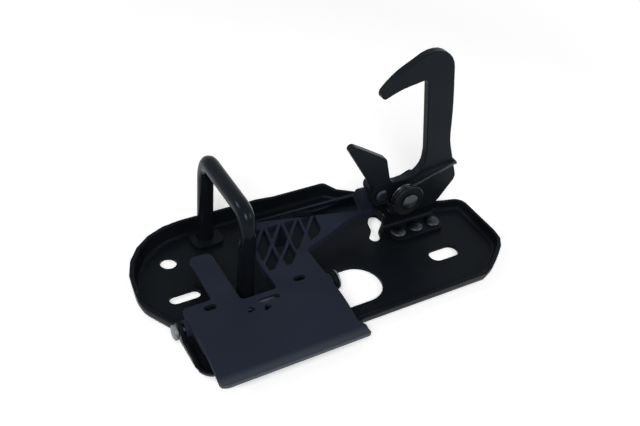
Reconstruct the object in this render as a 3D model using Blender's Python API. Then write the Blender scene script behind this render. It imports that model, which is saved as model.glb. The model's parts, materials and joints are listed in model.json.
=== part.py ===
"""Upper bonnet latch: pressed tray, wire striker, safety hook and release handle.

Sizes are in millimetres and become metres when a mesh is made.  X runs along
the tray, -Y is the side where fingers reach the handle, and +Z is the way
that the striker and the hook stand up from the tray.
"""
import math

import bmesh
import bpy
from mathutils import Matrix, Vector
from mathutils.geometry import delaunay_2d_cdt

MM = 0.001
GAP = 0.3                    # clearance between neighbouring pieces
ARC_STEP = math.radians(15)  # angle of one facet on a rounded corner

# Tray
SHEET = 2.0                  # thickness of the pressed steel
TRAY_FRONT = -50.6
TRAY_REAR = 41.9
TRAY_RIGHT = 102.0
TRAY_LEFT = -83.6            # left end of the round lobe
TRAY_LEFT_NARROW = -75.0     # left edge beside the handle
BEND_RADIUS = 2.0            # inside radius between floor and rim
RIM_LEAN = math.radians(6)
RIM_HEIGHT = 7.0
RIM_HEIGHT_REAR = 10.4       # at the striker, where the load is
RIM_HEIGHT_REAR_RIGHT = 9.4
RIM_HEIGHT_NOTCH = 4.4       # low rim under the finger panel
NOTCH_REAR = -43.5           # where the low rim starts on the left side
NOTCH_RIGHT = 1.6
NOTCH_RAMP = 3.0
RIM_EDGE = 0.4               # rounding of the rim's cut edge

# Holes of the tray
SLOT_LEFT = (-61.8, -0.7)
SLOT_LEFT_SIZE = (15.4, 5.9)
SLOT_RIGHT = (70.3, -25.6)
SLOT_RIGHT_SIZE = (17.0, 8.4)
ROUND_HOLE = (-60.3, 23.7)
ROUND_HOLE_RADIUS = 4.1
OPENING_CENTRE = (17.4, -27.0)
OPENING_RADIUS = 12.2
TAIL_WINDOW = (46.8, 4.6)    # middle of the waisted window under the hook's tail

# Striker
STRIKER_X = -36.9
STRIKER_REAR_Y = 33.2
STRIKER_FRONT_Y = -13.0
STRIKER_WIRE = 8.0
STRIKER_HEIGHT = 55.6        # top of the loop above the tray's underside
STRIKER_BEND = 10.0          # bend radius at the wire's centre
WASHER_SIZE = 16.0
WASHER_CORNER = 4.0
WASHER_THICKNESS = 2.0

# Handle hinge
HINGE_Y = -26.0
HINGE_Z = 9.2
PIN_RADIUS = 2.0
PIN_HEAD_RADIUS = 4.8
PIN_HEAD_THICKNESS = 3.2
EAR_HALF_WIDTH = 4.5
EAR_X = 1.6                  # inner face of the ear beside the opening
OPENING_LEFT = EAR_X - 1.5   # the ear is bent up from the opening's straight edge
CLIP_RADIUS = 4.8

# Handle
HANDLE_LEFT = TRAY_LEFT_NARROW + 3.8
HANDLE_RIGHT = -1.0
PANEL_TOP = 14.6
PANEL_THICKNESS = 2.0
LIP_Y = -63.5
LIP_RIGHT = 2.0
PANEL_REAR_LEFT = -19.0      # rear edge of the panel's left shoulder
STRIP_LEFT = -56.0
STRIP_REAR = 10.0
WINDOW_LEFT = -44.5
WINDOW_RIGHT = -26.5
WINDOW_FRONT = -24.4
BLOCK_REAR = 14.0            # rear edge of the lattice
BLOCK_THICKNESS = 4.5
BLOCK_FRONT = -14.0
RISE_START = -3.0            # the lattice slopes up behind this line
RISE_SLOPE = math.tan(math.radians(25))
ARM_CORNER_Y = -6.0
ARM_ELBOW = (30.0, 3.0)
NOSE_Y = 8.0
NOSE_RADIUS = 4.0
NOSE_WIDTH = 7.3
SKIRT_DEPTH = 5.0
BARREL_RADIUS = 4.2
BARREL_LEFT_END = -63.6
BARREL_RIGHT_START = -9.4

# Lattice of the handle
LATTICE_LEFT = -24.3
LATTICE_FRONT = -12.6
LATTICE_REAR = 9.6
LATTICE_PITCH_X = 9.3
LATTICE_PITCH_Y = 9.4
LATTICE_RIB = 1.5
LATTICE_COLUMNS = 4
DIMPLES = ((-59.0, -23.0), (-14.0, -22.6))
DIMPLE_SIZE = (6.0, 3.4)
PANEL_SLIT = (-32.6, -28.6)
PANEL_SLIT_SIZE = (10.5, 2.6)
PANEL_TRIANGLES = ((-43.4, -31.6), (-36.2, -33.4))

# Hook
PIVOT_X = 53.8
PIVOT_Z = 29.6
HOOK_THICKNESS = 4.0
HOOK_REAR_Y = 0.4
HOOK_TOP = 109.0
HOOK_THROAT = 38.7           # bottom of the throat between the shank and the lower jaw
HOOK_HEEL = (87.6, 30.6)
TAIL_X = 41.0
TAIL_Z = 32.6
TAIL_PIN_RADIUS = 2.0
TAIL_PIN_END_Y = 12.0
ROLLER_RADIUS = 3.5

# Hook bracket and pivot
CHEEK_FRONT_Y = 2.0
BRACKET_LEFT = 50.5
BRACKET_RIGHT = 82.0
FOOT_FRONT_Y = -10.5
CHEEK_END_HEIGHT = 12.0      # height of the cheek at its two ends
TOWER_FOOT_HEIGHT = 18.0     # where the tower's left edge starts
TOWER_RADIUS = math.hypot(TAIL_X - PIVOT_X, TAIL_Z - PIVOT_Z) - ROLLER_RADIUS - GAP
TOWER_LEFT = PIVOT_X - TOWER_RADIUS
RIVET_SHANK = 3.0
RIVET_HEAD = 4.4
BUSH_RADIUS = 4.6
HUB_RADIUS = 5.2
FLANGE_RADIUS = 8.6
FLANGE_FRONT_Y = -10.4
FLANGE_THICKNESS = 1.2
SPRING_WIRE = 1.6
SPRING_RADIUS = 6.7
SPRING_TURNS = 2.3
SPRING_PITCH = 1.5
FOOT_RIVET_Y = -4.6
FOOT_RIVET_INSET = 4.9       # from each end of the foot to its outer rivets
FOOT_RIVETS = tuple((BRACKET_LEFT + FOOT_RIVET_INSET
                     + (BRACKET_RIGHT - BRACKET_LEFT - 2.0 * FOOT_RIVET_INSET) * k / 2.0, FOOT_RIVET_Y)
                    for k in range(3))
FOOT_RIVET_HEAD = 4.2
FOOT_RIVET_SHANK = 2.0

# End of the handle's arm, beside the bracket
ARM_END = TOWER_LEFT - 2.0 * GAP
NOSE_RIGHT = ARM_END - 0.6
NOSE_LEFT = NOSE_RIGHT - NOSE_WIDTH

# Handle springs and rubber stop
COIL_WIRE = 0.8
COIL_CLEARANCE = 0.25
COIL_TURNS = 5
COIL_PITCH = 0.9
COIL_LEG = 9.5               # reach of the coils' straight ends
COIL_STARTS = (-61.0, -17.0)
BUMPER_POSITION = (-50.2, 5.0)
BUMPER_RADIUS = 4.5


def clear_scene():
    for old in list(bpy.data.objects):
        bpy.data.objects.remove(old, do_unlink=True)


def make_material(name, colour, metallic, roughness):
    material = bpy.data.materials.new(name)
    material.use_nodes = True
    shader = material.node_tree.nodes["Principled BSDF"]
    shader.inputs["Base Color"].default_value = (*colour, 1.0)
    shader.inputs["Metallic"].default_value = metallic
    shader.inputs["Roughness"].default_value = roughness
    material.diffuse_color = (*colour, 1.0)
    return material


def make_empty(name, location, parent=None):
    empty = bpy.data.objects.new(name, None)
    empty.empty_display_size = 0.01
    bpy.context.collection.objects.link(empty)
    empty.parent = parent
    origin = parent["place_mm"] if parent else (0.0, 0.0, 0.0)
    empty["place_mm"] = location
    empty.location = (Vector(location) - Vector(origin)) * MM
    return empty


def make_object(name, bm, material, parent, sharp_angle=35):
    """Turns a mesh drawn in the tray's millimetres into an object of its parent."""
    origin = Vector(parent["place_mm"])
    bmesh.ops.remove_doubles(bm, verts=bm.verts, dist=0.001)
    bmesh.ops.recalc_face_normals(bm, faces=bm.faces)
    bmesh.ops.translate(bm, verts=bm.verts, vec=-origin)
    bmesh.ops.scale(bm, verts=bm.verts, vec=(MM, MM, MM))
    mesh = bpy.data.meshes.new(name)
    bm.to_mesh(mesh)
    bm.free()
    mesh.shade_smooth()
    mesh.set_sharp_from_angle(angle=math.radians(sharp_angle))
    mesh.materials.append(material)
    obj = bpy.data.objects.new(name, mesh)
    bpy.context.collection.objects.link(obj)
    obj.parent = parent
    return obj


def add_boolean(obj, operand, operation):
    operand.hide_render = True
    operand.display_type = 'WIRE'
    modifier = obj.modifiers.new(operand.name, 'BOOLEAN')
    modifier.operation = operation
    modifier.solver = 'EXACT'
    modifier.object = operand


# Plane outlines

def edge_frame(a, b):
    direction = (Vector(b) - Vector(a)).normalized()
    return direction, Vector((-direction.y, direction.x))


def inset_corners(corners, inset):
    """Moves every edge of a corner list inwards; the list runs anticlockwise."""
    moved = []
    count = len(corners)
    for i, corner in enumerate(corners):
        here = Vector(corner[:2])
        before = Vector(corners[i - 1][:2])
        after = Vector(corners[(i + 1) % count][:2])
        dir_in, normal_in = edge_frame(before, here)
        dir_out, normal_out = edge_frame(here, after)
        turn = dir_in.x * dir_out.y - dir_in.y * dir_out.x
        half = 1.0 + normal_in.dot(normal_out)
        point = here + (normal_in + normal_out) * (inset / half)
        radius = corner[2]
        if radius > 0.0:
            radius = max(radius - math.copysign(inset, turn), 0.2)
        moved.append((point.x, point.y, radius, *corner[3:]))
    return moved


def corner_turn(corners, i):
    """Angle by which an outline turns at one of its corners."""
    here = corners[i][:2]
    dir_in, _ = edge_frame(corners[i - 1][:2], here)
    dir_out, _ = edge_frame(here, corners[(i + 1) % len(corners)][:2])
    return math.atan2(dir_in.x * dir_out.y - dir_in.y * dir_out.x, dir_in.dot(dir_out))


def rounded(corners):
    """Points of an anticlockwise outline whose corners (x, y, radius, ...) are arcs.

    Whatever follows the radius is carried along with each point.  Where two arcs
    would run into each other on a short edge, both become smaller.
    """
    points = []
    count = len(corners)
    turns = [corner_turn(corners, i) for i in range(count)]
    wanted = [corner[2] * math.tan(abs(turn) / 2.0) for corner, turn in zip(corners, turns)]
    for i, corner in enumerate(corners):
        here = Vector(corner[:2])
        rest = tuple(corner[3:])
        turn = turns[i]
        after = (i + 1) % count
        dir_in, normal_in = edge_frame(corners[i - 1][:2], here)
        if corner[2] <= 0.0 or abs(turn) < 1e-4:
            points.append((here.x, here.y, *rest))
            continue
        room_before = (here - Vector(corners[i - 1][:2])).length / (wanted[i] + wanted[i - 1])
        room_after = (here - Vector(corners[after][:2])).length / (wanted[i] + wanted[after])
        reach = wanted[i] * min(1.0, 0.97 * room_before, 0.97 * room_after)
        radius = reach / math.tan(abs(turn) / 2.0)
        side = math.copysign(1.0, turn)
        centre = here - dir_in * reach + normal_in * radius * side
        start = -normal_in * side
        steps = max(2, math.ceil(abs(turn) / ARC_STEP))
        for k in range(steps + 1):
            angle = turn * k / steps
            arm = Vector((start.x * math.cos(angle) - start.y * math.sin(angle),
                          start.x * math.sin(angle) + start.y * math.cos(angle)))
            point = centre + arm * radius
            points.append((point.x, point.y, *rest))
    return points


def circle(centre, radius, count=24):
    return [(centre[0] + radius * math.cos(2.0 * math.pi * k / count),
             centre[1] + radius * math.sin(2.0 * math.pi * k / count)) for k in range(count)]


def slot(start, end, radius, steps=8):
    """A slot with round ends between two centres."""
    direction, normal = edge_frame(start, end)
    first = math.atan2(normal.y, normal.x)
    points = []
    for centre, base in ((start, first), (end, first + math.pi)):
        for k in range(steps + 1):
            angle = base + math.pi * k / steps
            points.append((centre[0] + radius * math.cos(angle),
                           centre[1] + radius * math.sin(angle)))
    return points


def level_slot(centre, size):
    reach = (size[0] - size[1]) / 2.0
    return slot((centre[0] - reach, centre[1]), (centre[0] + reach, centre[1]), size[1] / 2.0)


def clip(points, keep):
    """Cuts a convex outline to the side where keep(x, y) is positive."""
    kept = []
    for a, b in zip(points, points[1:] + points[:1]):
        side_a, side_b = keep(*a), keep(*b)
        if side_a >= 0.0:
            kept.append(a)
        if (side_a > 0.0) != (side_b > 0.0) and side_a != side_b:
            t = side_a / (side_a - side_b)
            kept.append((a[0] + (b[0] - a[0]) * t, a[1] + (b[1] - a[1]) * t))
    return kept


def outline_area(points):
    return 0.5 * sum(a[0] * b[1] - b[0] * a[1] for a, b in zip(points, points[1:] + points[:1]))


# Solids

def inside(x, y, outline):
    """Whether a point lies inside an outline, by counting crossings."""
    found = False
    for a, b in zip(outline, outline[1:] + outline[:1]):
        if (a[1] > y) != (b[1] > y) and x < a[0] + (b[0] - a[0]) * (y - a[1]) / (b[1] - a[1]):
            found = not found
    return found


def flat_plate(outer, holes, low, high, with_wall=True):
    """A plate with holes through it: flat faces at two heights and upright walls."""
    bm = bmesh.new()
    loops = [list(outer)] + [list(hole) for hole in holes]
    flat = [Vector(point[:2]) for loop in loops for point in loop]
    edges = []
    start = 0
    for loop in loops:
        count = len(loop)
        edges += [(start + k, start + (k + 1) % count) for k in range(count)]
        start += count
    bottom = [bm.verts.new((point.x, point.y, low)) for point in flat]
    top = [bm.verts.new((point.x, point.y, high)) for point in flat]
    triangles = delaunay_2d_cdt(flat, edges, [], 1, 1e-7)[2]
    for a, b, c in triangles:
        middle = (flat[a] + flat[b] + flat[c]) / 3.0
        if inside(*middle, loops[0]) and not any(inside(*middle, hole) for hole in loops[1:]):
            bm.faces.new((top[a], top[b], top[c]))
            bm.faces.new((bottom[c], bottom[b], bottom[a]))
    wall_edges = edges if with_wall else edges[len(loops[0]):]
    for a, b in wall_edges:
        bm.faces.new((bottom[a], bottom[b], top[b], top[a]))
    return bm


def upright_plate(outer, holes, front, rear):
    """A plate drawn in X and Z that stands between two values of Y."""
    bm = flat_plate(outer, holes, front, rear)
    for vert in bm.verts:
        vert.co = Vector((vert.co.x, vert.co.z, vert.co.y))
    return bm


def bent_plate(outer, holes, bend_start, low, thickness, radius, steps=5):
    """A flat blank drawn in X and Y, bent upwards along the line Y = bend_start."""
    bm = flat_plate(outer, holes, 0.0, 1.0)
    neutral = radius + thickness / 2.0
    bend_end = bend_start + neutral * math.pi / 2.0
    for k in range(steps + 1):
        y = bend_start + (bend_end - bend_start) * k / steps
        geometry = bm.verts[:] + bm.edges[:] + bm.faces[:]
        bmesh.ops.bisect_plane(bm, geom=geometry, dist=1e-5, plane_co=(0.0, y, 0.0), plane_no=(0.0, 1.0, 0.0))
    centre_z = low + thickness + radius
    for vert in bm.verts:
        x, along, level = vert.co
        if along <= bend_start + 1e-4:
            vert.co.z = low + thickness * level
            continue
        reach = radius + thickness * (1.0 - level)
        angle = min((along - bend_start) / neutral, math.pi / 2.0)
        rise = max(along - bend_end, 0.0)
        vert.co.y = bend_start + reach * math.sin(angle)
        vert.co.z = centre_z - reach * math.cos(angle) + rise
    return bm


def turned(profile, centre, axis, count=24):
    """Revolves (radius, height) points about an axis through centre."""
    bm = bmesh.new()
    rows = []
    for radius, height in profile:
        if radius < 1e-6:
            rows.append([bm.verts.new((0.0, 0.0, height))])
            continue
        rows.append([bm.verts.new((radius * math.cos(2.0 * math.pi * k / count),
                                   radius * math.sin(2.0 * math.pi * k / count), height))
                     for k in range(count)])
    closed = profile[0][0] > 1e-6 and profile[-1][0] > 1e-6
    pairs = list(zip(rows, rows[1:] + ([rows[0]] if closed else [])))
    if not closed:
        pairs = pairs[:len(rows) - 1]
    for low, high in pairs:
        for k in range(count):
            nxt = (k + 1) % count
            ring = [low[k % len(low)], low[nxt % len(low)], high[nxt % len(high)], high[k % len(high)]]
            corners = list(dict.fromkeys(ring))
            if len(corners) > 2:
                bm.faces.new(corners)
    turn = Vector((0.0, 0.0, 1.0)).rotation_difference(Vector(axis)).to_matrix().to_4x4()
    bmesh.ops.transform(bm, matrix=Matrix.Translation(Vector(centre)) @ turn, verts=bm.verts)
    return bm


def swept_wire(path, radius, count=8):
    """A round wire along a list of points, with flat ends."""
    points = [Vector(point) for point in path]
    bm = bmesh.new()
    tangent = (points[1] - points[0]).normalized()
    side = tangent.orthogonal().normalized()
    rings = []
    for i, point in enumerate(points):
        ahead = points[min(i + 1, len(points) - 1)] - points[max(i - 1, 0)]
        new_tangent = ahead.normalized()
        side = (tangent.rotation_difference(new_tangent) @ side).normalized()
        side = (side - new_tangent * side.dot(new_tangent)).normalized()
        tangent = new_tangent
        up = tangent.cross(side)
        rings.append([bm.verts.new(point + (side * math.cos(2.0 * math.pi * k / count)
                                            + up * math.sin(2.0 * math.pi * k / count)) * radius)
                      for k in range(count)])
    for low, high in zip(rings, rings[1:]):
        for k in range(count):
            nxt = (k + 1) % count
            bm.faces.new((low[k], low[nxt], high[nxt], high[k]))
    bm.faces.new(rings[0])
    bm.faces.new(rings[-1])
    return bm


def joined(*meshes):
    """Several closed bodies in one mesh, for a cutter."""
    whole = bmesh.new()
    for bm in meshes:
        mesh = bpy.data.meshes.new("body")
        bm.to_mesh(mesh)
        bm.free()
        whole.from_mesh(mesh)
        bpy.data.meshes.remove(mesh)
    return whole


# Tray

def tray_corners():
    """Corners of the tray at its base: x, y, radius, rim height."""
    ear_low = HINGE_Y - EAR_HALF_WIDTH
    ear_high = HINGE_Y + EAR_HALF_WIDTH
    ear_top = HINGE_Z + EAR_HALF_WIDTH
    return [
        (TRAY_LEFT_NARROW, TRAY_FRONT, 5.0, RIM_HEIGHT_NOTCH),
        (NOTCH_RIGHT, TRAY_FRONT, 0.0, RIM_HEIGHT_NOTCH),
        (NOTCH_RIGHT + NOTCH_RAMP, TRAY_FRONT, 0.0, RIM_HEIGHT),
        (TRAY_RIGHT, TRAY_FRONT, 25.0, RIM_HEIGHT),
        (TRAY_RIGHT, TRAY_REAR - 39.3, 6.0, RIM_HEIGHT),
        (TRAY_RIGHT - 14.0, TRAY_REAR - 36.8, 16.0, RIM_HEIGHT),
        (TRAY_RIGHT - 60.0, TRAY_REAR - 5.0, 0.0, RIM_HEIGHT),
        (TRAY_RIGHT - 66.5, TRAY_REAR, 5.0, RIM_HEIGHT_REAR_RIGHT),
        (6.0, TRAY_REAR, 0.0, RIM_HEIGHT_REAR_RIGHT),
        (-4.0, TRAY_REAR, 0.0, RIM_HEIGHT_REAR),
        (TRAY_LEFT, TRAY_REAR, 38.0, RIM_HEIGHT_REAR),
        (TRAY_LEFT, TRAY_REAR - 44.9, 14.0, RIM_HEIGHT),
        (TRAY_LEFT_NARROW, HINGE_Y + 7.6, 4.0, RIM_HEIGHT),
        (TRAY_LEFT_NARROW, ear_high, 0.0, RIM_HEIGHT),
        (TRAY_LEFT_NARROW, ear_high - 1.2, 0.0, HINGE_Z + 2.6),
        (TRAY_LEFT_NARROW, HINGE_Y + 1.6, 0.0, ear_top),
        (TRAY_LEFT_NARROW, HINGE_Y - 1.6, 0.0, ear_top),
        (TRAY_LEFT_NARROW, ear_low + 1.2, 0.0, HINGE_Z + 2.6),
        (TRAY_LEFT_NARROW, ear_low, 0.0, RIM_HEIGHT),
        (TRAY_LEFT_NARROW, NOTCH_REAR + NOTCH_RAMP, 0.0, RIM_HEIGHT),
        (TRAY_LEFT_NARROW, NOTCH_REAR, 0.0, RIM_HEIGHT_NOTCH),
    ]


def rim_face(radius, height):
    """Inset at a height of the leaning face that leaves a bend of this radius."""
    centre = SHEET + BEND_RADIUS
    return centre - (radius + (height - centre) * math.sin(RIM_LEAN)) / math.cos(RIM_LEAN)


def tray_section(height):
    """Inset and height of each line round the tray, from underside over the rim to the floor."""
    outer = SHEET + BEND_RADIUS
    steps = 3
    lines = []
    for k in range(steps + 1):
        angle = (math.pi / 2.0 - RIM_LEAN) * k / steps
        lines.append((outer * (1.0 - math.sin(angle)), outer * (1.0 - math.cos(angle))))
    below = height - RIM_EDGE
    lines.append((rim_face(outer, below), below))
    lines.append((rim_face(outer, height) + RIM_EDGE, height))
    lines.append((rim_face(BEND_RADIUS, height) - RIM_EDGE, height))
    lines.append((rim_face(BEND_RADIUS, below), below))
    for k in range(steps, -1, -1):
        angle = (math.pi / 2.0 - RIM_LEAN) * k / steps
        lines.append((outer - BEND_RADIUS * math.sin(angle), outer - BEND_RADIUS * math.cos(angle)))
    return lines


def tail_window():
    """Waisted window in the floor below the hook's tail."""
    x, y = TAIL_WINDOW
    return rounded([
        (x - 6.6, y - 5.4, 2.5),
        (x - 4.5, y - 9.6, 2.5),
        (x - 0.4, y - 6.8, 2.0),
        (x + 1.4, y - 2.0, 1.5),
        (x + 8.0, y + 4.4, 2.5),
        (x + 7.6, y + 11.2, 3.0),
        (x + 3.0, y + 10.2, 3.0),
        (x - 0.5, y + 5.4, 2.0),
        (x - 1.9, y - 0.2, 1.5),
    ])


def tray_holes():
    opening = [(OPENING_LEFT, OPENING_CENTRE[1] - OPENING_RADIUS)]
    steps = 16
    for k in range(steps + 1):
        angle = math.pi * (k / steps - 0.5)
        opening.append((OPENING_CENTRE[0] + OPENING_RADIUS * math.cos(angle),
                        OPENING_CENTRE[1] + OPENING_RADIUS * math.sin(angle)))
    opening.append((OPENING_LEFT, OPENING_CENTRE[1] + OPENING_RADIUS))
    leg_hole = STRIKER_WIRE / 2.0 + GAP
    return [
        opening,
        level_slot(SLOT_LEFT, SLOT_LEFT_SIZE),
        level_slot(SLOT_RIGHT, SLOT_RIGHT_SIZE),
        circle(ROUND_HOLE, ROUND_HOLE_RADIUS),
        tail_window(),
        circle((STRIKER_X, STRIKER_REAR_Y), leg_hole),
        circle((STRIKER_X, STRIKER_FRONT_Y), leg_hole),
        circle(BUMPER_POSITION, 2.0 + GAP, 16),
        *(circle(place, FOOT_RIVET_SHANK + GAP, 16) for place in FOOT_RIVETS),
    ]


def build_tray(material, parent):
    corners = tray_corners()
    base = rounded(corners)
    count = len(base)
    sections = [tray_section(point[2]) for point in base]
    bm = bmesh.new()
    rows = []
    for line in range(len(sections[0])):
        row = []
        for k in range(count):
            inset, height = sections[k][line]
            place = rounded(inset_corners(corners, inset))[k]
            row.append(bm.verts.new((place[0], place[1], height)))
        rows.append(row)
    for low, high in zip(rows, rows[1:]):
        for k in range(count):
            nxt = (k + 1) % count
            bm.faces.new((low[k], low[nxt], high[nxt], high[k]))
    floor = [(vert.co.x, vert.co.y) for vert in rows[-1]]
    plate = flat_plate(floor, tray_holes(), 0.0, SHEET, with_wall=False)
    tray = make_object("base_plate", joined(bm, plate), material, parent)
    bend_start = EAR_X - BEND_RADIUS
    neutral_length = (BEND_RADIUS + SHEET / 2.0) * math.pi / 2.0
    eye = bend_start + neutral_length + HINGE_Z - SHEET - BEND_RADIUS
    blank = [(HINGE_Y - EAR_HALF_WIDTH, bend_start - 2.0), (HINGE_Y + EAR_HALF_WIDTH, bend_start - 2.0)]
    for k in range(13):
        angle = math.pi * k / 12
        blank.append((HINGE_Y + EAR_HALF_WIDTH * math.cos(angle), eye + EAR_HALF_WIDTH * math.sin(angle)))
    ear = bent_plate(blank, [], bend_start, 0.0, SHEET, BEND_RADIUS)
    for vert in ear.verts:
        vert.co = Vector((vert.co.y, vert.co.x, vert.co.z))
    ear_tool = make_object("ear_tool", ear, material, parent)
    pin_hole = turned([(0.0, TRAY_LEFT_NARROW - 8.0), (PIN_RADIUS + GAP, TRAY_LEFT_NARROW - 8.0),
                       (PIN_RADIUS + GAP, EAR_X + 8.0), (0.0, EAR_X + 8.0)],
                      (0.0, HINGE_Y, HINGE_Z), (1.0, 0.0, 0.0), 16)
    hole_tool = make_object("ear_hole_tool", pin_hole, material, parent)
    add_boolean(tray, ear_tool, 'UNION')
    add_boolean(tray, hole_tool, 'DIFFERENCE')
    return tray


# Striker

def build_striker(material, parent):
    radius = STRIKER_WIRE / 2.0
    top = STRIKER_HEIGHT - radius
    foot = 0.4
    path = [(STRIKER_X, STRIKER_REAR_Y, foot)]
    steps = 7
    for k in range(steps + 1):
        angle = math.pi / 2.0 * k / steps
        path.append((STRIKER_X, STRIKER_REAR_Y - STRIKER_BEND * (1.0 - math.cos(angle)),
                     top - STRIKER_BEND * (1.0 - math.sin(angle))))
    for k in range(steps, -1, -1):
        angle = math.pi / 2.0 * k / steps
        path.append((STRIKER_X, STRIKER_FRONT_Y + STRIKER_BEND * (1.0 - math.cos(angle)),
                     top - STRIKER_BEND * (1.0 - math.sin(angle))))
    path.append((STRIKER_X, STRIKER_FRONT_Y, foot))
    make_object("striker", swept_wire(path, radius, 20), material, parent)


def build_striker_washers(material, parent):
    """Reinforcing plates round the feet, cut straight where they meet the rim's bend."""
    hole = STRIKER_WIRE / 2.0 + GAP
    low = SHEET + GAP
    rear_limit = TRAY_REAR - SHEET - BEND_RADIUS - GAP
    for name, y in (("striker_washer_rear", STRIKER_REAR_Y), ("striker_washer_front", STRIKER_FRONT_Y)):
        rear = min(y + WASHER_SIZE / 2.0, rear_limit)
        outline = rounded([
            (STRIKER_X - WASHER_SIZE / 2.0, y - WASHER_SIZE / 2.0, WASHER_CORNER),
            (STRIKER_X + WASHER_SIZE / 2.0, y - WASHER_SIZE / 2.0, WASHER_CORNER),
            (STRIKER_X + WASHER_SIZE / 2.0, rear, 2.0),
            (STRIKER_X - WASHER_SIZE / 2.0, rear, 2.0),
        ])
        body = flat_plate(outline, [circle((STRIKER_X, y), hole)], low, low + WASHER_THICKNESS)
        make_object(name, body, material, parent)


# Handle

# Distance behind the lip's edge, and drop below the panel's flat top
PANEL_HOLLOW = ((24.5, 0.0), (18.5, 0.7), (13.0, 2.0), (8.8, 3.4), (5.8, 4.7), (3.8, 5.3),
                (2.3, 5.2), (1.1, 4.5), (0.0, 3.8))


def panel_height(y):
    """Top of the finger panel: flat at the hinge, hollow towards the lip."""
    stations = tuple((LIP_Y + ahead, drop) for ahead, drop in PANEL_HOLLOW)
    if y >= stations[0][0]:
        return PANEL_TOP
    for (y0, drop0), (y1, drop1) in zip(stations, stations[1:]):
        if y >= y1 - 1e-6:
            t = (y0 - y) / (y0 - y1)
            return PANEL_TOP - drop0 - (drop1 - drop0) * t
    return PANEL_TOP - stations[-1][1]


PANEL_CUTS = tuple(LIP_Y + ahead for ahead, drop in PANEL_HOLLOW[:-1])


def handle_top(x, y):
    top = panel_height(y)
    if x > WINDOW_RIGHT - 1.0 and y > RISE_START:
        top += (y - RISE_START) * RISE_SLOPE
    return top


def handle_bottom(x, y):
    thickness = PANEL_THICKNESS
    if x > WINDOW_RIGHT - 1.0 and y > BLOCK_FRONT + 1.0:
        thickness = BLOCK_THICKNESS
    return handle_top(x, y) - thickness


def lattice_pockets():
    """Pockets between ribs that run across the block and ribs at about 45 degrees."""
    pockets = []
    slope = LATTICE_PITCH_Y / LATTICE_PITCH_X
    half_y = (LATTICE_PITCH_Y - LATTICE_RIB * math.hypot(1.0, slope)) / 2.0
    arm_slope = (ARM_ELBOW[1] - ARM_CORNER_Y) / (ARM_ELBOW[0] - HANDLE_RIGHT)
    for column in range(LATTICE_COLUMNS):
        left = LATTICE_LEFT + column * LATTICE_PITCH_X
        right = left + LATTICE_PITCH_X - LATTICE_RIB
        for row in range(-2, 4):
            shift = LATTICE_FRONT + 5.0 + row * LATTICE_PITCH_Y - slope * (LATTICE_PITCH_X * column)
            shift += slope * LATTICE_PITCH_X * column
            shape = []
            for x, sign in ((left, -1.0), (right, -1.0), (right, 1.0), (left, 1.0)):
                middle = shift + slope * (x - (left + right) / 2.0)
                shape.append((x, middle + sign * half_y))
            shape = clip(shape, lambda x, y: y - LATTICE_FRONT)
            shape = clip(shape, lambda x, y: LATTICE_REAR - y) if len(shape) > 2 else []
            if len(shape) > 2 and right > HANDLE_RIGHT - 2.0:
                shape = clip(shape, lambda x, y: y - (ARM_CORNER_Y + 2.6 + arm_slope * (x - HANDLE_RIGHT)))
            if len(shape) > 2 and outline_area(shape) > 6.0:
                pockets.append(shape)
    return pockets


def handle_outline():
    return rounded([
        (HANDLE_LEFT, LIP_Y, 4.0),
        (LIP_RIGHT, LIP_Y, 2.5),
        (LIP_RIGHT, LIP_Y + 6.0, 1.2),
        (HANDLE_RIGHT, LIP_Y + 9.0, 1.2),
        (HANDLE_RIGHT, ARM_CORNER_Y, 4.0),
        (ARM_ELBOW[0], ARM_ELBOW[1], 8.0),
        (ARM_END, ARM_ELBOW[1], 2.5),
        (ARM_END, BLOCK_REAR, 4.0),
        (WINDOW_RIGHT, BLOCK_REAR, 3.0),
        (WINDOW_RIGHT, WINDOW_FRONT, 2.0),
        (WINDOW_LEFT, WINDOW_FRONT, 2.0),
        (WINDOW_LEFT, STRIP_REAR, 3.0),
        (STRIP_LEFT, STRIP_REAR, 3.0),
        (STRIP_LEFT, PANEL_REAR_LEFT, 3.0),
        (HANDLE_LEFT, PANEL_REAR_LEFT, 2.5),
    ])


def formed_plate(outer, holes, cuts, top_of, bottom_of):
    """A plate drawn flat, then lifted to a top and a bottom surface."""
    bm = flat_plate(outer, holes, 0.0, 1.0)
    for y in cuts:
        geometry = bm.verts[:] + bm.edges[:] + bm.faces[:]
        bmesh.ops.bisect_plane(bm, geom=geometry, dist=1e-5, plane_co=(0.0, y, 0.0), plane_no=(0.0, 1.0, 0.0))
    for vert in bm.verts:
        x, y, level = vert.co
        vert.co.z = top_of(x, y) if level > 0.5 else bottom_of(x, y)
    return bm


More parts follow.
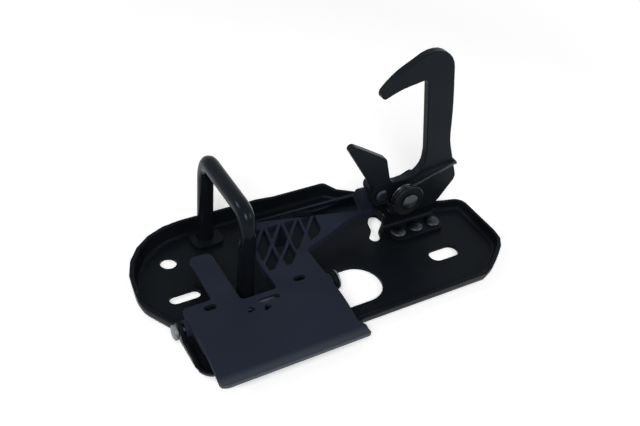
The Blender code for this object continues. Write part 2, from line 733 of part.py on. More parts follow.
def build_handle(material, parent):
    holes = lattice_pockets() + [level_slot(place, DIMPLE_SIZE) for place in DIMPLES]
    holes.append(level_slot(PANEL_SLIT, PANEL_SLIT_SIZE))
    for x, y in PANEL_TRIANGLES:
        holes.append(rounded([(x - 2.4, y - 1.9, 0.7), (x + 2.8, y - 0.4, 0.7), (x + 0.4, y + 2.4, 0.7)]))
    cuts = PANEL_CUTS + (BLOCK_FRONT, BLOCK_FRONT + 1.001, RISE_START)
    body = formed_plate(handle_outline(), holes, cuts, handle_top, handle_bottom)
    handle = make_object("handle", body, material, parent)
    tools = []
    skirt_rear = PANEL_REAR_LEFT - 2.6
    skirt_front = TRAY_FRONT + 1.6
    for left in (HANDLE_LEFT + 1.0, HANDLE_RIGHT - PANEL_THICKNESS - 1.0):
        right = left + PANEL_THICKNESS
        outline = [(left, skirt_front), (right, skirt_front), (right, skirt_rear), (left, skirt_rear)]
        cuts = [y for y in PANEL_CUTS if y > skirt_front] + [skirt_front + 8.0]
        skirt = formed_plate(outline, [], cuts, lambda x, y: panel_height(y) - 0.6,
                             lambda x, y: panel_height(y) - PANEL_THICKNESS - SKIRT_DEPTH
                             * min(1.0, (y - skirt_front + 0.2) / 8.2))
        tools.append(("skirt_tool", skirt))
    wall = TRAY_LEFT_NARROW + rim_face(BEND_RADIUS, HINGE_Z - BARREL_RADIUS)
    for start, end in ((wall + GAP, BARREL_LEFT_END), (BARREL_RIGHT_START, EAR_X - GAP)):
        barrel = turned([(0.0, start), (BARREL_RADIUS, start), (BARREL_RADIUS, end), (0.0, end)],
                        (0.0, HINGE_Y, HINGE_Z), (1.0, 0.0, 0.0), 24)
        tools.append(("barrel_tool", barrel))
    nose_top = TAIL_Z - ROLLER_RADIUS - GAP
    centre_z = nose_top - NOSE_RADIUS
    plate_low = handle_bottom(NOSE_LEFT, NOSE_Y + NOSE_RADIUS)
    nose_low = plate_low + 0.4
    outline = [(NOSE_Y - NOSE_RADIUS, nose_low), (NOSE_Y + NOSE_RADIUS, nose_low)]
    for k in range(13):
        angle = math.pi * k / 12
        outline.append((NOSE_Y + NOSE_RADIUS * math.cos(angle), centre_z + NOSE_RADIUS * math.sin(angle)))
    nose = flat_plate(outline, [], NOSE_LEFT, NOSE_RIGHT)
    for vert in nose.verts:
        vert.co = Vector((vert.co.z, vert.co.x, vert.co.y))
    tools.append(("nose_tool", nose))
    for name, bm in tools:
        add_boolean(handle, make_object(name, bm, material, parent), 'UNION')
    bore = turned([(0.0, HANDLE_LEFT - 6.0), (PIN_RADIUS + GAP, HANDLE_LEFT - 6.0),
                   (PIN_RADIUS + GAP, EAR_X + 6.0), (0.0, EAR_X + 6.0)],
                  (0.0, HINGE_Y, HINGE_Z), (1.0, 0.0, 0.0), 16)
    add_boolean(handle, make_object("bore_tool", bore, material, parent), 'DIFFERENCE')
    return handle


def build_hinge(steel, parent):
    wall_face = TRAY_LEFT_NARROW - math.tan(RIM_LEAN) * (HINGE_Z + EAR_HALF_WIDTH - SHEET - BEND_RADIUS)
    head_inner = wall_face - GAP
    head_outer = head_inner - PIN_HEAD_THICKNESS
    pin_end = EAR_X + SHEET + GAP + 2.0
    dome = 0.9
    profile = [(0.0, head_outer), (PIN_HEAD_RADIUS - 1.6, head_outer), (PIN_HEAD_RADIUS, head_outer + dome),
               (PIN_HEAD_RADIUS, head_inner), (PIN_RADIUS, head_inner), (PIN_RADIUS, pin_end - 0.6),
               (PIN_RADIUS - 0.6, pin_end), (0.0, pin_end)]
    make_object("hinge_pin", turned(profile, (0.0, HINGE_Y, HINGE_Z), (1, 0, 0), 24), steel, parent)
    start = EAR_X + SHEET + GAP
    ring = [(PIN_RADIUS + GAP, start + 0.7), (PIN_RADIUS + 1.4, start), (CLIP_RADIUS, start),
            (CLIP_RADIUS, start + 0.8), (PIN_RADIUS + 1.6, start + 0.8), (PIN_RADIUS + GAP, start + 1.5)]
    make_object("hinge_pin_clip", turned(ring, (0.0, HINGE_Y, HINGE_Z), (1, 0, 0), 24), steel, parent)


def build_handle_springs(material, parent):
    """Small torsion springs on the pin; one leg lies under the panel, one above the floor."""
    coil_radius = PIN_RADIUS + COIL_CLEARANCE + COIL_WIRE / 2.0
    per_turn = 14
    for name, start in zip(("handle_spring_left", "handle_spring_right"), COIL_STARTS):
        path = [(start, HINGE_Y - COIL_LEG, HINGE_Z + coil_radius)]
        for k in range(COIL_TURNS * per_turn + per_turn // 2 + 1):
            angle = math.pi / 2.0 - 2.0 * math.pi * k / per_turn
            path.append((start + COIL_PITCH * k / per_turn, HINGE_Y + coil_radius * math.cos(angle),
                         HINGE_Z + coil_radius * math.sin(angle)))
        path.append((path[-1][0], HINGE_Y - COIL_LEG, HINGE_Z - coil_radius - 0.9))
        make_object(name, swept_wire(path, COIL_WIRE / 2.0, 6), material, parent)


def build_bumper(material, parent):
    top = PANEL_TOP - PANEL_THICKNESS - GAP
    low = SHEET + GAP
    profile = [(0.0, 0.4), (2.0, 0.4), (2.0, low), (BUMPER_RADIUS, low), (BUMPER_RADIUS, top - 2.0),
               (BUMPER_RADIUS - 0.6, top - 0.6), (BUMPER_RADIUS - 2.0, top), (0.0, top)]
    make_object("handle_bumper", turned(profile, (*BUMPER_POSITION, 0.0), (0, 0, 1), 20), material, parent)


# Hook

def hook_outline():
    """Profile of the hook in X and Z: nose and beak point to the left."""
    heel_x, heel_z = HOOK_HEEL
    return rounded([
        (heel_x - 10.6, heel_z - 15.1, 7.0),
        (heel_x, heel_z, 5.0),
        (heel_x - 9.5, heel_z + 25.4, 45.0),
        (heel_x - 18.3, HOOK_TOP, 13.0),
        (heel_x - 34.1, HOOK_TOP, 14.0),
        (heel_x - 62.9, HOOK_TOP - 21.5, 2.3),
        (heel_x - 30.7, HOOK_TOP - 13.8, 3.0),
        (heel_x - 23.0, HOOK_THROAT + 13.8, 30.0),
        (heel_x - 22.8, HOOK_THROAT, 9.5),
        (heel_x - 41.9, HOOK_THROAT, 4.0),
        (heel_x - 46.6, HOOK_THROAT + 15.6, 3.0),
        (heel_x - 73.5, HOOK_THROAT + 32.6, 2.1),
        (TAIL_X - 5.0, TAIL_Z + 4.6, 7.0),
        (TAIL_X - 5.0, TAIL_Z - 6.2, 5.0),
        (TAIL_X + 6.0, TAIL_Z - 7.2, 3.0),
        (PIVOT_X - 6.0, PIVOT_Z - 13.6, 7.0),
    ])


def build_hook(material, parent):
    front = HOOK_REAR_Y - HOOK_THICKNESS
    holes = [circle((PIVOT_X, PIVOT_Z), BUSH_RADIUS + GAP), circle((TAIL_X, TAIL_Z), TAIL_PIN_RADIUS + GAP, 16)]
    hook = make_object("hook", upright_plate(hook_outline(), holes, front, HOOK_REAR_Y), material, parent, 30)
    return hook


def build_tail_pin(steel, sleeve, parent):
    front = HOOK_REAR_Y - HOOK_THICKNESS
    head = 1.3
    profile = [(0.0, front - GAP - head), (2.6, front - GAP - head), (3.6, front - GAP - head + 0.7),
               (3.6, front - GAP), (TAIL_PIN_RADIUS, front - GAP), (TAIL_PIN_RADIUS, TAIL_PIN_END_Y - 1.4),
               (3.0, TAIL_PIN_END_Y - 1.4), (3.0, TAIL_PIN_END_Y - 0.5), (2.4, TAIL_PIN_END_Y),
               (0.0, TAIL_PIN_END_Y)]
    make_object("hook_tail_pin", turned(profile, (TAIL_X, 0.0, TAIL_Z), (0, 1, 0), 20), steel, parent)
    start = HOOK_REAR_Y + GAP
    end = TAIL_PIN_END_Y - 1.4 - GAP
    ring = [(TAIL_PIN_RADIUS + GAP, start), (ROLLER_RADIUS - 0.3, start), (ROLLER_RADIUS, start + 0.3),
            (ROLLER_RADIUS, end - 0.3), (ROLLER_RADIUS - 0.3, end), (TAIL_PIN_RADIUS + GAP, end)]
    make_object("tail_roller", turned(ring, (TAIL_X, 0.0, TAIL_Z), (0, 1, 0), 24), sleeve, parent)


def build_spool(material, parent):
    """Plastic bush in the hook's bore, with a hub and flange that hold the spring."""
    front = HOOK_REAR_Y - HOOK_THICKNESS
    bore = RIVET_SHANK + GAP
    flange_rear = FLANGE_FRONT_Y + FLANGE_THICKNESS
    profile = [(bore, FLANGE_FRONT_Y), (FLANGE_RADIUS - 0.5, FLANGE_FRONT_Y),
               (FLANGE_RADIUS, FLANGE_FRONT_Y + 0.5), (FLANGE_RADIUS, flange_rear), (HUB_RADIUS, flange_rear),
               (HUB_RADIUS, front - GAP), (BUSH_RADIUS, front - GAP), (BUSH_RADIUS, HOOK_REAR_Y),
               (bore, HOOK_REAR_Y)]
    make_object("hook_bush", turned(profile, (PIVOT_X, 0.0, PIVOT_Z), (0, 1, 0), 32), material, parent)


def build_pivot_rivet(material, parent):
    face = FLANGE_FRONT_Y - GAP
    rear = CHEEK_FRONT_Y + SHEET + GAP
    dome = 1.8
    profile = [(0.0, face - dome), (1.6, face - dome + 0.1), (3.2, face - dome + 0.6), (RIVET_HEAD, face - 0.5),
               (RIVET_HEAD, face), (RIVET_SHANK, face), (RIVET_SHANK, rear), (RIVET_HEAD, rear),
               (RIVET_HEAD, rear + 0.8), (3.0, rear + 1.5), (0.0, rear + 1.8)]
    make_object("hook_pivot_rivet", turned(profile, (PIVOT_X, 0.0, PIVOT_Z), (0, 1, 0), 28), material, parent)


def build_hook_washer(material, parent):
    start = HOOK_REAR_Y + GAP
    end = CHEEK_FRONT_Y - GAP
    ring = [(RIVET_SHANK + GAP, start), (8.0, start), (8.0, end), (RIVET_SHANK + GAP, end)]
    make_object("hook_washer", turned(ring, (PIVOT_X, 0.0, PIVOT_Z), (0, 1, 0), 28), material, parent)


def build_bracket(material, parent):
    """Pressed angle: a foot riveted to the tray and a cheek behind the hook."""
    low = SHEET + GAP
    bend_y = CHEEK_FRONT_Y - BEND_RADIUS
    blank_shift = bend_y + (BEND_RADIUS + SHEET / 2.0) * math.pi / 2.0 - (low + SHEET + BEND_RADIUS)
    blank = rounded([
        (BRACKET_LEFT, FOOT_FRONT_Y, 4.0),
        (BRACKET_RIGHT, FOOT_FRONT_Y, 4.0),
        (BRACKET_RIGHT, CHEEK_END_HEIGHT + blank_shift, 5.0),
        (BRACKET_RIGHT - 8.0, CHEEK_END_HEIGHT + 2.0 + blank_shift, 7.0),
        (PIVOT_X + TOWER_RADIUS + 1.0, PIVOT_Z + TOWER_RADIUS + blank_shift, TOWER_RADIUS),
        (TOWER_LEFT, PIVOT_Z + TOWER_RADIUS + blank_shift, TOWER_RADIUS),
        (TOWER_LEFT, TOWER_FOOT_HEIGHT + blank_shift, 5.0),
        (BRACKET_LEFT, CHEEK_END_HEIGHT + blank_shift, 5.0),
    ])
    holes = [circle((PIVOT_X, PIVOT_Z + blank_shift), RIVET_SHANK + GAP)]
    holes += [circle(place, FOOT_RIVET_SHANK + GAP, 16) for place in FOOT_RIVETS]
    body = bent_plate(blank, holes, bend_y, low, SHEET, BEND_RADIUS)
    return make_object("hook_bracket", body, material, parent)


def build_foot_rivets(material, parent):
    face = SHEET + GAP + SHEET + GAP
    for number, place in enumerate(FOOT_RIVETS, 1):
        profile = [(0.0, 0.3), (FOOT_RIVET_SHANK, 0.3), (FOOT_RIVET_SHANK, face), (FOOT_RIVET_HEAD, face),
                   (FOOT_RIVET_HEAD, face + 0.4), (FOOT_RIVET_HEAD - 0.8, face + 1.1),
                   (FOOT_RIVET_HEAD - 2.2, face + 1.6), (0.0, face + 1.8)]
        body = turned(profile, (*place, 0.0), (0, 0, 1), 20)
        make_object(f"bracket_rivet_{number}", body, material, parent)


def build_hook_spring(material, parent):
    """Torsion spring: a leg across the hook's face hooks round its rear edge."""
    front = HOOK_REAR_Y - HOOK_THICKNESS
    wire = SPRING_WIRE / 2.0
    start_y = FLANGE_FRONT_Y + FLANGE_THICKNESS + 0.2 + wire
    leave = math.radians(123.0)
    heel_x, heel_z = HOOK_HEEL
    grip_z = heel_z + 10.6
    edge_x = heel_x - 10.6 * 9.5 / 25.4
    outside = edge_x + wire + GAP
    path = [
        (outside, HOOK_REAR_Y + 0.4, grip_z - 0.3),
        (outside, front + 0.4, grip_z - 0.3),
        (outside - 0.4, front - wire - 0.2, grip_z - 0.2),
        (outside - 1.8, front - wire - GAP, grip_z),
        (outside - 5.0, front - wire - GAP - 0.4, grip_z - 0.3),
    ]
    per_turn = 18
    total = int(SPRING_TURNS * per_turn)
    for k in range(total + 1):
        angle = leave + 2.0 * math.pi * k / per_turn
        path.append((PIVOT_X + SPRING_RADIUS * math.cos(angle), start_y + SPRING_PITCH * k / per_turn,
                     PIVOT_Z + SPRING_RADIUS * math.sin(angle)))
    last = Vector(path[-1])
    before = Vector(path[-2])
    direction = (last - before).normalized()
    direction.y = 0.0
    path.append(tuple(last + direction * 4.0))
    path.append(tuple(last + direction * 8.0))
    make_object("hook_spring", swept_wire(path, wire, 8), material, parent)


def centre_on_floor(root):
    """Puts the middle of the whole latch's underside at the origin."""
    bpy.context.view_layer.update()
    graph = bpy.context.evaluated_depsgraph_get()
    low = Vector((math.inf,) * 3)
    high = Vector((-math.inf,) * 3)
    for obj in bpy.data.objects:
        if obj.type != 'MESH' or obj.hide_render:
            continue
        shown = obj.evaluated_get(graph)
        for vert in shown.data.vertices:
            place = shown.matrix_world @ vert.co
            low = Vector(map(min, low, place))
            high = Vector(map(max, high, place))
    root.location = (-(low.x + high.x) / 2.0, -(low.y + high.y) / 2.0, -low.z)


def main():
    clear_scene()
    black_steel = make_material("black_coated_steel", (0.012, 0.013, 0.016), 0.3, 0.36)
    plastic = make_material("moulded_plastic", (0.030, 0.034, 0.045), 0.0, 0.5)
    dark_plastic = make_material("bush_plastic", (0.012, 0.014, 0.014), 0.0, 0.45)
    zinc = make_material("zinc_plated_steel", (0.34, 0.36, 0.38), 1.0, 0.35)
    spring_steel = make_material("spring_steel", (0.10, 0.10, 0.11), 1.0, 0.3)
    rubber = make_material("rubber", (0.010, 0.010, 0.010), 0.0, 0.8)

    root = make_empty("latch_root", (0.0, 0.0, 0.0))
    handle_joint = make_empty("handle_joint", ((HANDLE_LEFT + HANDLE_RIGHT) / 2.0, HINGE_Y, HINGE_Z), root)
    hook_joint = make_empty("hook_joint", (PIVOT_X, HOOK_REAR_Y - HOOK_THICKNESS / 2.0, PIVOT_Z), root)

    build_tray(black_steel, root)
    build_striker(black_steel, root)
    build_striker_washers(black_steel, root)
    build_bracket(black_steel, root)
    build_foot_rivets(zinc, root)
    build_pivot_rivet(zinc, root)
    build_hook_washer(dark_plastic, root)
    build_hinge(zinc, root)
    build_bumper(rubber, root)

    build_handle(plastic, handle_joint)
    build_handle_springs(spring_steel, handle_joint)

    build_hook(black_steel, hook_joint)
    build_spool(dark_plastic, hook_joint)
    build_tail_pin(zinc, dark_plastic, hook_joint)
    build_hook_spring(spring_steel, hook_joint)
    centre_on_floor(root)


main()
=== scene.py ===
# %% [markdown]
# Bonnet latch in black coated steel, with a moulded release handle.
#
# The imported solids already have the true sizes, so this script gives them the
# look of the real unit: softened edges, coatings, grain and light.  The pieces
# could be modelled anew here, but a copy of each solid keeps every piece where
# the joints expect it.  Everything is in metres, in the frame of the model.

import json
import math

import bmesh
import bpy
from mathutils import Matrix, Vector


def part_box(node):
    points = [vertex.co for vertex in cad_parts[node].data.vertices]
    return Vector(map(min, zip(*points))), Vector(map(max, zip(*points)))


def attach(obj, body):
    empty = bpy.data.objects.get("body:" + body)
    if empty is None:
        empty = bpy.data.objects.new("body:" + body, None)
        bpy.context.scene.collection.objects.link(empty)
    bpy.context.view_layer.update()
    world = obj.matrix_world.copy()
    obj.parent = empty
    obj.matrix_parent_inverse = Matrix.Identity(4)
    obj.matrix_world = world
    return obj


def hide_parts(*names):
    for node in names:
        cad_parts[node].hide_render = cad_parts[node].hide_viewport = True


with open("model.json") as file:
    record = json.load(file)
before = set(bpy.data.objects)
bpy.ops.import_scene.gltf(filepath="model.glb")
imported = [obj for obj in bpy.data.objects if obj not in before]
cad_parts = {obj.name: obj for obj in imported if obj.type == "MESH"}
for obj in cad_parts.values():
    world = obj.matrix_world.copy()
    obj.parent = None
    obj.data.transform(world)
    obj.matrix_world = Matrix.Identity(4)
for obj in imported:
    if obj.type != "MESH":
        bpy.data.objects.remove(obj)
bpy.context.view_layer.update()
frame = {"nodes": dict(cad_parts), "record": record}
nodes = frame["nodes"]
record = frame["record"]
bodies_of_nodes = {node: body for body, members in record["behaviour"]["bodies"].items()
                   for node in members}
MM = 0.001

# %% [markdown]
# The camera comes first.  A picture fixes a camera by three turns, a distance
# and a focal length.  The latch was photographed from above its handle corner,
# so the camera looks along +X and +Y and down, and it is rolled a little.  A
# focal length given in pixels becomes a lens by the ratio of the sensor's width
# to the picture's width.

# %% Camera at the photograph's angle
PICTURE = (640, 426)
FOCAL_PIXELS = 850.0
SENSOR_WIDTH = 36.0                            # millimetres, as on a full-frame camera
CAMERA_TURN = math.radians(33.9)
CAMERA_DROP = math.radians(39.1)
CAMERA_ROLL = math.radians(6.8)
AIM = Vector((-9.0213, 10.4737, 0.0)) * MM     # a point on the tray's underside
AIM_PIXEL = (300.0, 262.0)                     # where the picture shows it
AIM_DEPTH = 0.425                              # metres from the camera to it, along the view
NEAREST_SEEN = 0.02                            # metres

forward = Vector((math.sin(CAMERA_TURN) * math.cos(CAMERA_DROP),
                  math.cos(CAMERA_TURN) * math.cos(CAMERA_DROP), -math.sin(CAMERA_DROP)))
level = Vector((math.cos(CAMERA_TURN), -math.sin(CAMERA_TURN), 0.0))
upright = level.cross(forward)
right = level * math.cos(CAMERA_ROLL) + upright * math.sin(CAMERA_ROLL)
above = upright * math.cos(CAMERA_ROLL) - level * math.sin(CAMERA_ROLL)
ray = (right * (AIM_PIXEL[0] - PICTURE[0] / 2.0) - above * (AIM_PIXEL[1] - PICTURE[1] / 2.0)) / FOCAL_PIXELS
eye = AIM - (forward + ray) * AIM_DEPTH

camera_data = bpy.data.cameras.new("studio_camera")
camera_data.sensor_width = SENSOR_WIDTH
camera_data.lens = FOCAL_PIXELS * SENSOR_WIDTH / PICTURE[0]
camera_data.clip_start = NEAREST_SEEN
camera = bpy.data.objects.new("studio_camera", camera_data)
bpy.context.scene.collection.objects.link(camera)
camera.matrix_world = Matrix.Translation(eye) @ Matrix((right, above, -forward)).transposed().to_4x4()
bpy.context.scene.camera = camera
print("camera at", [round(v, 4) for v in eye], "lens", round(camera_data.lens, 2), "mm")

# %% [markdown]
# Colours are easiest to note as the hex values that a picture shows.  Blender
# works with light, so one function turns each channel from the sRGB curve to
# linear.  A second one turns the size of a grain or a patch in millimetres into
# the scale of a noise.  A third adds a shader node, sets its options and
# sockets and makes its links, so that a material reads as a short recipe.

# %% Helpers for colours and shader nodes
def linear(hex_colour):
    """A linear RGBA colour from a six-digit sRGB hex value."""
    channels = [int(hex_colour[i:i + 2], 16) / 255.0 for i in (1, 3, 5)]
    return (*(c / 12.92 if c <= 0.04045 else ((c + 0.055) / 1.055) ** 2.4 for c in channels), 1.0)


def scale_for(size):
    """The scale of a noise whose patches are about this many millimetres wide."""
    return 1.0 / (size * MM)


def add_node(tree, kind, settings=None, links=None):
    """Adds a node; settings name its options or inputs, links give the outputs that feed it."""
    node = tree.nodes.new(kind)
    for key, value in (settings or {}).items():
        if key in node.inputs:
            node.inputs[key].default_value = value
        else:
            setattr(node, key, value)
    for key, output in (links or {}).items():
        tree.links.new(output, node.inputs[key])
    return node


def new_material(name):
    """A material, its node tree, its shader and the Object coordinates that patterns read."""
    material = bpy.data.materials.new(name)
    material.use_nodes = True
    tree = material.node_tree
    place = add_node(tree, "ShaderNodeTexCoord").outputs["Object"]
    return material, tree, tree.nodes["Principled BSDF"], place


COLOUR_A, COLOUR_B, COLOUR_OUT = 6, 7, 2     # the colour sockets of a Mix node, which share their names
print("the coating's dark black in linear light:", [round(c, 4) for c in linear("#0a0c0f")])

# %% [markdown]
# Electrocoat is a thin black paint that is laid on pressed steel in a bath by
# an electric current.  It comes out even and satin, with a faint orange peel
# about a millimetre across.  A dark base colour, a weak specular level and a
# roughness that drifts a little give that look, and a very low bump breaks up
# the reflections.  The reflections in the photograph are cool, so the gloss is
# tinted a little blue.  Plate and drawn bar lie smoother under the same paint
# than a deep pressing, so they shine more.

# %% Electrocoated steel
def electrocoated_steel(name, smoothest, roughest, specular):
    material, tree, shader, place = new_material(name)
    drift = add_node(tree, "ShaderNodeTexNoise", {"Scale": scale_for(16.7), "Detail": 3.0}, {"Vector": place})
    colour = add_node(tree, "ShaderNodeMix", {"data_type": "RGBA"}, {"Factor": drift.outputs["Fac"]})
    colour.inputs[COLOUR_A].default_value = linear("#0a0c0f")
    colour.inputs[COLOUR_B].default_value = linear("#111418")
    sheen = add_node(tree, "ShaderNodeMapRange", {"To Min": smoothest, "To Max": roughest},
                     {"Value": drift.outputs["Fac"]})
    peel = add_node(tree, "ShaderNodeTexNoise", {"Scale": scale_for(1.11), "Detail": 2.0}, {"Vector": place})
    bump = add_node(tree, "ShaderNodeBump", {"Strength": 0.05, "Distance": 0.2 * MM},
                    {"Height": peel.outputs["Fac"]})
    tree.links.new(colour.outputs[COLOUR_OUT], shader.inputs["Base Color"])
    tree.links.new(sheen.outputs["Result"], shader.inputs["Roughness"])
    tree.links.new(bump.outputs["Normal"], shader.inputs["Normal"])
    shader.inputs["IOR"].default_value = 1.5
    shader.inputs["Specular IOR Level"].default_value = specular
    shader.inputs["Specular Tint"].default_value = linear("#c7e1ff")
    return material


coated = electrocoated_steel("electrocoated_pressing", 0.28, 0.42, 0.045)
coated_plate = electrocoated_steel("electrocoated_plate", 0.28, 0.42, 0.085)
coated_bar = electrocoated_steel("electrocoated_drawn_bar", 0.14, 0.24, 0.1)
print("made", coated.name, coated_plate.name, "and", coated_bar.name)

# %% [markdown]
# The handle is injection moulded in glass-filled nylon.  The mould is spark
# eroded to a fine grain, which kills the gloss and makes the dark blue-grey
# plastic look lighter than the paint beside it.  The real grain is too fine to
# show, so it is drawn at about a third of a millimetre.  Along the front lip a
# ramp on the Y coordinate mixes a paler colour in over the last few
# millimetres: a painted highlight where the lip's edge catches the light.  The
# same ramp makes the lip smoother.

# %% Glass-filled nylon
LIP_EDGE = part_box("handle")[0][1]     # the front edge of the finger lip
LIP_INNER = LIP_EDGE + 6.0 * MM       # where the painted lip highlight fades out


def grained_nylon():
    material, tree, shader, place = new_material("grained_nylon")
    cloud = add_node(tree, "ShaderNodeTexNoise", {"Scale": scale_for(22.2), "Detail": 4.0}, {"Vector": place})
    colour = add_node(tree, "ShaderNodeMix", {"data_type": "RGBA"}, {"Factor": cloud.outputs["Fac"]})
    colour.inputs[COLOUR_A].default_value = linear("#181b25")
    colour.inputs[COLOUR_B].default_value = linear("#1e222e")
    grain = add_node(tree, "ShaderNodeTexNoise", {"Scale": scale_for(0.385), "Detail": 2.0},
                     {"Vector": place})
    bump = add_node(tree, "ShaderNodeBump", {"Strength": 0.25, "Distance": 0.2 * MM},
                    {"Height": grain.outputs["Fac"]})
    along = add_node(tree, "ShaderNodeSeparateXYZ", links={"Vector": place})
    # painted highlight: the front lip's colour turns paler towards its edge, where the lip catches the light
    lip_highlight_ramp = add_node(tree, "ShaderNodeMapRange", {"From Min": LIP_INNER, "From Max": LIP_EDGE},
                      {"Value": along.outputs["Y"]})
    lip_highlight_colour = add_node(tree, "ShaderNodeMix", {"data_type": "RGBA"},
                    {"Factor": lip_highlight_ramp.outputs["Result"], COLOUR_A: colour.outputs[COLOUR_OUT]})
    # the paler colour of the painted lip highlight
    lip_highlight_colour.inputs[COLOUR_B].default_value = linear("#454a52")
    sheen = add_node(tree, "ShaderNodeMapRange", {"To Min": 0.55, "To Max": 0.38},
                     {"Value": lip_highlight_ramp.outputs["Result"]})
    tree.links.new(lip_highlight_colour.outputs[COLOUR_OUT], shader.inputs["Base Color"])
    tree.links.new(sheen.outputs["Result"], shader.inputs["Roughness"])
    tree.links.new(bump.outputs["Normal"], shader.inputs["Normal"])
    shader.inputs["IOR"].default_value = 1.53
    shader.inputs["Specular IOR Level"].default_value = 0.08
    shader.inputs["Specular Tint"].default_value = linear("#d2e4ff")
    return material


nylon = grained_nylon()
# the span of the painted lip highlight, in millimetres
print("made", nylon.name, "polished from", round(LIP_INNER / MM, 1), "to", round(LIP_EDGE / MM, 1), "mm")

# %% [markdown]
# The bush, the washer and the roller are acetal, a hard slippery plastic that
# comes from its mould smooth and a little waxy.  Its black varies so slightly
# that a soft cloud in the colour is enough, with an even roughness.

# %% Smooth acetal
def smooth_acetal():
    material, tree, shader, place = new_material("smooth_acetal")
    cloud = add_node(tree, "ShaderNodeTexNoise", {"Scale": scale_for(6.67), "Detail": 2.0}, {"Vector": place})
    colour = add_node(tree, "ShaderNodeMix", {"data_type": "RGBA"}, {"Factor": cloud.outputs["Fac"]})
    colour.inputs[COLOUR_A].default_value = linear("#0b0e10")
    colour.inputs[COLOUR_B].default_value = linear("#111416")
    tree.links.new(colour.outputs[COLOUR_OUT], shader.inputs["Base Color"])
    shader.inputs["Roughness"].default_value = 0.34
    shader.inputs["IOR"].default_value = 1.48
    shader.inputs["Specular IOR Level"].default_value = 0.1
    return material


acetal = smooth_acetal()
print("made", acetal.name)

# %% [markdown]
# The rivets, the tail pin and the hinge pin are zinc plated.  The plating is a
# dull grey metal with patches of slightly different gloss, so noise drives both
# the colour and the roughness.  The bracket's rivets and the tail pin are
# passivated black after plating, which is the same recipe in a darker pair of
# colours.  A metal keeps the shader's default IOR.

# %% Zinc plating
def zinc_plating(name, dark, light):
    material, tree, shader, place = new_material(name)
    patches = add_node(tree, "ShaderNodeTexNoise", {"Scale": scale_for(1.43), "Detail": 4.0},
                       {"Vector": place})
    colour = add_node(tree, "ShaderNodeMix", {"data_type": "RGBA"}, {"Factor": patches.outputs["Fac"]})
    colour.inputs[COLOUR_A].default_value = linear(dark)
    colour.inputs[COLOUR_B].default_value = linear(light)
    gloss = add_node(tree, "ShaderNodeMapRange", {"To Min": 0.28, "To Max": 0.5},
                     {"Value": patches.outputs["Fac"]})
    tree.links.new(colour.outputs[COLOUR_OUT], shader.inputs["Base Color"])
    tree.links.new(gloss.outputs["Result"], shader.inputs["Roughness"])
    shader.inputs["Metallic"].default_value = 1.0
    return material


zinc = zinc_plating("zinc_plating", "#5b6065", "#7d8287")
dull_zinc = zinc_plating("dull_zinc_plating", "#34383c", "#4a4e52")
black_zinc = zinc_plating("black_passivated_zinc", "#23262b", "#3a3e44")
print("made", zinc.name, dull_zinc.name, "and", black_zinc.name)

# %% [markdown]
# Spring wire is drawn through a die and oiled.  It is a dark metal with a
# tight gloss.  The streaks of the die are too fine to show on so thin a wire,
# so only the roughness varies, in patches two millimetres wide.

# %% Spring wire
def oiled_wire():
    material, tree, shader, place = new_material("oiled_spring_wire")
    film = add_node(tree, "ShaderNodeTexNoise", {"Scale": scale_for(2.0), "Detail": 3.0}, {"Vector": place})
    gloss = add_node(tree, "ShaderNodeMapRange", {"To Min": 0.2, "To Max": 0.34},
                     {"Value": film.outputs["Fac"]})
    tree.links.new(gloss.outputs["Result"], shader.inputs["Roughness"])
    shader.inputs["Base Color"].default_value = linear("#303338")
    shader.inputs["Metallic"].default_value = 1.0
    return material


wire = oiled_wire()
print("made", wire.name)

# %% [markdown]
# The stop under the handle is moulded rubber: almost black and rough, with no
# clear reflections.  Specks in the bump, drawn coarser than real ones so that
# they show, make its surface look dry.

# %% Moulded rubber
def moulded_rubber():
    material, tree, shader, place = new_material("moulded_rubber")
    speck = add_node(tree, "ShaderNodeTexNoise", {"Scale": scale_for(0.67), "Detail": 2.0}, {"Vector": place})
    bump = add_node(tree, "ShaderNodeBump", {"Strength": 0.2, "Distance": 0.1 * MM},
                    {"Height": speck.outputs["Fac"]})
    tree.links.new(bump.outputs["Normal"], shader.inputs["Normal"])
    shader.inputs["Base Color"].default_value = linear("#0c0c0d")
    shader.inputs["Roughness"].default_value = 0.8
    shader.inputs["Specular IOR Level"].default_value = 0.1
    return material


rubber = moulded_rubber()
print("made", rubber.name)

# %% [markdown]
# On the real unit some outlines are rounder, tighter or shorter than the plain
# arcs of the solids.  Each could be drawn anew, but a soft pull is enough:
# points near a centre move by a few millimetres at most, and the move fades to
# nothing at its reach.  The end of a piece is rescaled along one axis, and a
# straight side gets extra points before it is bent.

# %% Tools that reshape a copy
ON_THE_START = 0.01     # millimetres; a point this close to the start belongs to the end


def fade(apart, reach):
    """The share of a pull that a point gets, from 1 at the centre to 0 at the reach."""
    return (1.0 - (apart / reach) ** 2) ** 2 if apart < reach else 0.0


def pull(bm, axes, centre, reach, shift):
    """Moves the points near a centre along two axes; all in millimetres."""
    for vertex in bm.verts:
        apart = math.hypot(*(vertex.co[axis] / MM - middle for axis, middle in zip(axes, centre)))
        for axis, amount in zip(axes, shift):
            vertex.co[axis] += amount * fade(apart, reach) * MM


def rescale_end(bm, axis, start, side, factor, centre=None, girth=1.0):
    """Rescales what lies past a start on one side of it, and slims it round a centre line."""
    others = [k for k in range(3) if k != axis]
    for vertex in bm.verts:
        past = vertex.co[axis] - start * MM
        if past * side > -ON_THE_START * MM:
            vertex.co[axis] = start * MM + past * factor
            if centre:
                for k, middle in zip(others, centre):
                    vertex.co[k] = (middle + (vertex.co[k] / MM - middle) * girth) * MM


def split_long_edges(bm, longest, cuts):
    """Cuts edges over a length in millimetres, so that a straight side can be bent."""
    long_edges = [edge for edge in bm.edges if edge.calc_length() > longest * MM]
    bmesh.ops.subdivide_edges(bm, edges=long_edges, cuts=cuts, use_grid_fill=True)


print("share of a pull at half its reach:", fade(0.5, 1.0))

